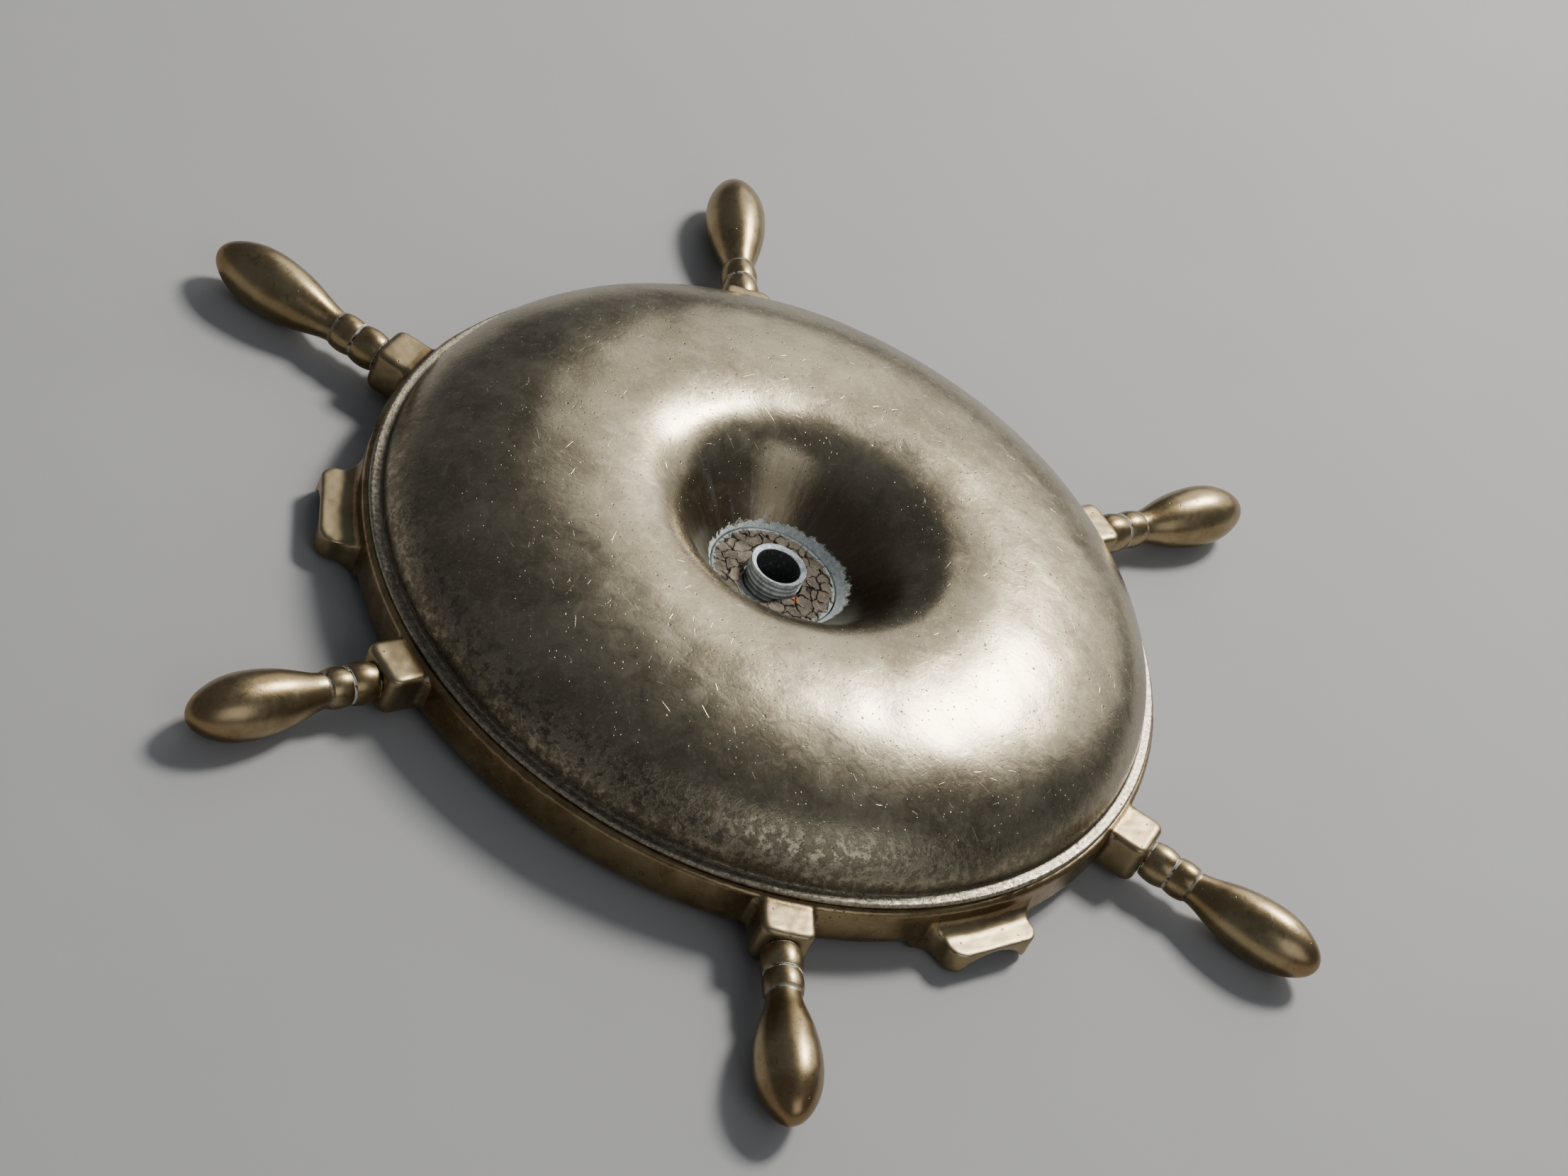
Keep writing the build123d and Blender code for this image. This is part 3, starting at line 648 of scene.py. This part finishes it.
def rim_brass():
    s = Shader("rim_brass")
    edge = s.attribute("edge")
    cloud = s.noise(14, 4, 0.6)
    streak = s.noise(2.6, 4, 0.65, warp=1.0)
    fine = s.noise(0.6, 3, 0.6)
    colour = s.mix(s.step(cloud, 0.36, 0.64), (0.21, 0.14, 0.065), (0.33, 0.245, 0.13))
    colour = s.mix(s.times(s.step(streak, 0.52, 0.72), 0.4), colour, (0.41, 0.33, 0.20))
    colour = s.mix(s.times(s.step(streak, 0.44, 0.3), 0.5), colour, (0.13, 0.09, 0.05))
    raised = s.step(s.radius, 96.0, 97.5)
    colour = s.mix(s.times(raised, 0.5), colour, (0.37, 0.305, 0.18))
    worn = s.step(edge, 0.02, 0.12)
    colour = s.mix(s.times(worn, 0.6), colour, (0.60, 0.52, 0.37))
    cavity = s.step(edge, -0.012, -0.07)
    polish = s.times(cavity, s.step(s.noise(1.3, 4, 0.7, shift=(2, 3, 4)), 0.42, 0.56))
    colour = s.mix(s.times(cavity, 0.7), colour, (0.09, 0.065, 0.04))
    colour = s.mix(s.times(polish, 0.85), colour, (0.60, 0.60, 0.55))
    pits = s.pits(2.0, 0.3, 0.35)
    colour = s.mix(s.times(pits, 0.5), colour, (0.09, 0.07, 0.05))
    rough = s.plus(0.22, s.times(streak, 0.14), s.times(raised, 0.08), s.times(cavity, 0.3),
                   s.times(polish, 0.2))
    relief = s.plus(s.times(pits, -0.08), s.times(fine, 0.012), s.times(streak, 0.03), s.times(polish, 0.08))
    return s.finish(colour, rough, s.invert(s.times(polish, 0.8)), relief)


def handle_brass():
    s = Shader("handle_brass")
    cloud = s.noise(11, 4, 0.6, shift=(7, 7, 7))
    streak = s.noise(2.2, 5, 0.68, warp=1.4)
    fine = s.noise(0.55, 3, 0.6)
    colour = s.mix(s.step(cloud, 0.36, 0.64), (0.27, 0.195, 0.095), (0.39, 0.30, 0.165))
    colour = s.mix(s.times(s.step(streak, 0.54, 0.74), 0.45), colour, (0.48, 0.40, 0.25))
    colour = s.mix(s.times(s.step(streak, 0.45, 0.3), 0.5), colour, (0.15, 0.105, 0.055))
    tip = s.step(s.radius, 139, 149)
    colour = s.mix(s.times(tip, 0.5), colour, (0.27, 0.15, 0.07))
    rough = s.plus(0.20, s.times(streak, 0.16), s.times(cloud, 0.06))
    # dried polish in the grooves: between the beads, against the boss and, faintly, at the neck
    groove_a = s.step(s.math("ABSOLUTE", s.math("SUBTRACT", s.radius, 111.2)), 0.45, 0.2)
    groove_b = s.step(s.math("ABSOLUTE", s.math("SUBTRACT", s.radius, 104.6)), 0.4, 0.2)
    groove_c = s.step(s.math("ABSOLUTE", s.math("SUBTRACT", s.radius, 116.7)), 0.6, 0.2)
    grooves = s.math("MAXIMUM", s.math("MAXIMUM", groove_a, groove_b), groove_c)
    colour = s.mix(s.times(grooves, 0.6), colour, (0.10, 0.075, 0.045))
    chalky = s.math("MAXIMUM", s.math("MAXIMUM", groove_a, groove_b), s.times(groove_c, 0.35))
    chalk = s.times(chalky, s.step(s.noise(1.8, 4, 0.7, shift=(1, 8, 3)), 0.40, 0.52))
    colour = s.mix(s.times(chalk, 0.85), colour, (0.66, 0.65, 0.6))
    pits = s.pits(2.2, 0.28, 0.35)
    colour = s.mix(s.times(pits, 0.5), colour, (0.1, 0.08, 0.05))
    rough = s.plus(rough, s.times(chalk, 0.5), s.times(grooves, 0.1))
    relief = s.plus(s.times(pits, -0.07), s.times(fine, 0.01), s.times(streak, 0.025), s.times(chalk, 0.07))
    return s.finish(colour, rough, s.invert(s.times(chalk, 0.85)), relief)


def rust_spot(s):
    """Rust where the thread meets the leather."""
    away = s.vector("SUBTRACT", s.place, (5.0, -6.0, LIFT + 9.4))
    gap = s.plus(s.vector("LENGTH", away), s.math("MULTIPLY_ADD", s.noise(0.9, 3, 0.7), 1.6, -0.8))
    return s.step(gap, 1.35, 0.8)


def zinc_tube():
    s = Shader("zinc_tube")
    bloom = s.noise(1.3, 5, 0.72)
    film = s.noise(4, 3, 0.6, shift=(3, 1, 4))
    colour = s.mix(s.step(film, 0.38, 0.64), (0.40, 0.45, 0.47), (0.62, 0.68, 0.71))
    colour = s.mix(s.times(s.step(bloom, 0.44, 0.58), 0.85), colour, (0.80, 0.86, 0.88))
    inside = s.step(s.radius, 5.45, 5.25)
    lint = s.times(inside, s.step(s.noise(1.0, 5, 0.8, shift=(8, 8, 2)), 0.5, 0.62))
    # painted shade: the bore is coloured near black
    colour = s.mix(inside, colour, (0.075, 0.078, 0.075))
    colour = s.mix(s.times(lint, 0.8), colour, (0.42, 0.45, 0.45))
    valley = s.times(s.step(s.radius, 6.42, 6.12), s.step(s.radius, 5.5, 5.7), s.step(s.h, 12.2, 12.0))
    colour = s.mix(s.times(valley, 0.6), colour, (0.13, 0.135, 0.13))
    rust = rust_spot(s)
    colour = s.mix(rust, colour, (0.42, 0.15, 0.045))
    rough = s.plus(0.42, s.times(bloom, 0.2), s.times(inside, 0.3), s.times(rust, 0.3))
    metal = s.math("SUBTRACT", 0.55, s.times(s.math("MAXIMUM", inside, rust), 0.55), clamp=True)
    relief = s.plus(s.times(bloom, 0.09), s.times(s.noise(0.35, 3, 0.6), 0.03), s.times(lint, 0.3))
    return s.finish(colour, rough, metal, relief)


def leather():
    s = Shader("dried_leather")
    crack = s.attribute("crack")
    patch = s.noise(5, 4, 0.6)
    fibre = s.noise(0.8, 5, 0.75)
    # lighter patches, with painted shadow: the +x side, shaded by the recess wall, is held darker
    patches_and_painted_light = s.times(s.step(patch, 0.36, 0.64), s.step(s.x, 9, -6, 0.3, 1.0))
    colour = s.mix(patches_and_painted_light, (0.11, 0.085, 0.055), (0.33, 0.28, 0.21))
    colour = s.mix(s.times(s.step(fibre, 0.5, 0.7), 0.5), colour, (0.40, 0.36, 0.29))
    colour = s.mix(s.times(s.step(fibre, 0.46, 0.32), 0.5), colour, (0.09, 0.065, 0.04))
    colour = s.mix(s.times(crack, 0.92), colour, (0.018, 0.014, 0.01))
    border = s.plus(s.radius, s.math("MULTIPLY_ADD", s.noise(1.7, 4, 0.7, shift=(6, 2, 9)), 3.0, -1.5))
    colour = s.mix(s.times(s.step(border, 13.9, 14.7), 0.85), colour, (0.50, 0.56, 0.54))
    colour = s.mix(rust_spot(s), colour, (0.40, 0.15, 0.05))
    relief = s.plus(s.times(fibre, 0.12), s.times(patch, 0.08))
    return s.finish(colour, s.plus(0.72, s.times(fibre, 0.2)), 0.0, relief)


def plated_steel(name, light, dark):
    s = Shader(name)
    film = s.noise(3, 5, 0.65)
    spot = s.noise(0.9, 4, 0.7, shift=(4, 9, 2))
    colour = s.mix(s.step(film, 0.38, 0.64), dark, light)
    rust = s.step(spot, 0.62, 0.72)
    colour = s.mix(s.times(rust, 0.7), colour, (0.20, 0.085, 0.035))
    rough = s.plus(0.34, s.times(film, 0.18), s.times(rust, 0.3))
    relief = s.plus(s.times(film, 0.03), s.times(spot, 0.03), s.times(rust, 0.05))
    return s.finish(colour, rough, s.invert(s.times(rust, 0.8)), relief)


def cap_brass():
    s = Shader("cap_brass")
    film = s.noise(4.5, 5, 0.65, shift=(12, 1, 1))
    fine = s.noise(0.7, 3, 0.65)
    colour = s.mix(s.step(film, 0.38, 0.64), (0.20, 0.15, 0.085), (0.45, 0.365, 0.22))
    colour = s.mix(s.times(s.step(fine, 0.55, 0.7), 0.4), colour, (0.55, 0.48, 0.33))
    rough = s.plus(0.26, s.times(film, 0.2))
    return s.finish(colour, rough, 1.0, s.plus(s.times(film, 0.04), s.times(fine, 0.015)))


def dress(obj, *materials):
    """Gives the object its materials; clear() would also undo the face slots of a new mesh."""
    if len(obj.data.materials):
        obj.data.materials.clear()
    for material in materials:
        obj.data.materials.append(material)


# --------------------------------------------------------------- the object
bowl = ash_bowl()
rim = wheel_rim()
handles = [handle(i, azimuth) for i, azimuth in enumerate(HANDLE_AZIMUTHS, start=1)]
tube = hub_tube()
washer = leather_washer()

dress(bowl, dome_brass(), ash_side_brass())
dress(rim, rim_brass())
one_handle_brass = handle_brass()
for piece in handles:
    dress(piece, one_handle_brass)
dress(tube, zinc_tube())
dress(washer, leather())
dress(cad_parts["handle_studs"], plated_steel("stud_steel", (0.42, 0.40, 0.37), (0.22, 0.20, 0.18)))
dress(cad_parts["hub_lock_nut"], plated_steel("zinc_nut", (0.50, 0.53, 0.54), (0.28, 0.29, 0.28)))
dress(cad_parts["hub_shim"], plated_steel("zinc_shim", (0.46, 0.48, 0.48), (0.24, 0.25, 0.24)))
dress(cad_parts["hub_cap"], cap_brass())


# ------------------------------------------------------- floor, light, camera
def floor():
    mesh = bpy.data.meshes.new("floor")
    half = 3.0
    corners = [(-half, -half, 0), (half, -half, 0), (half, half, 0), (-half, half, 0)]
    mesh.from_pydata(corners, [], [(0, 1, 2, 3)])
    obj = bpy.data.objects.new("floor", mesh)
    bpy.context.scene.collection.objects.link(obj)
    s = Shader("floor_plain")
    tone = s.noise(60, 3, 0.5)
    dress(obj, s.finish(s.mix(tone, (0.42, 0.415, 0.405), (0.46, 0.455, 0.445)), 0.75, 0.0))


def area_light(name, way, distance, size, power, colour):
    data = bpy.data.lights.new(name, "AREA")
    data.shape = "RECTANGLE"
    data.size, data.size_y = size
    data.energy = power
    data.color = colour
    obj = bpy.data.objects.new(name, data)
    aim = Vector((0, 0, 0.015))
    obj.location = aim + Vector(way).normalized() * distance
    obj.rotation_euler = (aim - obj.location).to_track_quat("-Z", "Y").to_euler()
    bpy.context.scene.collection.objects.link(obj)


def camera():
    data = bpy.data.cameras.new("camera")
    data.lens = 100.46
    data.sensor_width = 36.0
    data.sensor_fit = "HORIZONTAL"
    data.clip_start = 0.05
    data.clip_end = 20.0
    right = Vector((0.93293, -0.04802, 0.35684))
    up = Vector((-0.22403, 0.69847, 0.67967))
    back = Vector((-0.28188, -0.71403, 0.64086))
    matrix = Matrix((right, up, back)).transposed().to_4x4()
    matrix.translation = Vector((-0.2754, -0.7068, 0.6481))
    obj = bpy.data.objects.new("camera", data)
    obj.matrix_world = matrix
    bpy.context.scene.collection.objects.link(obj)
    bpy.context.scene.camera = obj


floor()
area_light("key", (0.48, 0.48, 0.73), 1.5, (0.32, 0.36), 23.0, (1.0, 0.985, 0.96))
area_light("fill", (0.45, -1.0, 0.75), 2.2, (1.5, 1.5), 7.0, (0.93, 0.96, 1.0))
area_light("sky", (0.6, 0.85, 0.6), 2.2, (2.2, 1.4), 13.0, (1.0, 0.99, 0.96))
world = bpy.data.worlds.new("studio")
world.use_nodes = True
world.node_tree.nodes["Background"].inputs[0].default_value = (0.8, 0.87, 1.0, 1)
world.node_tree.nodes["Background"].inputs[1].default_value = 0.15
bpy.context.scene.world = world
camera()
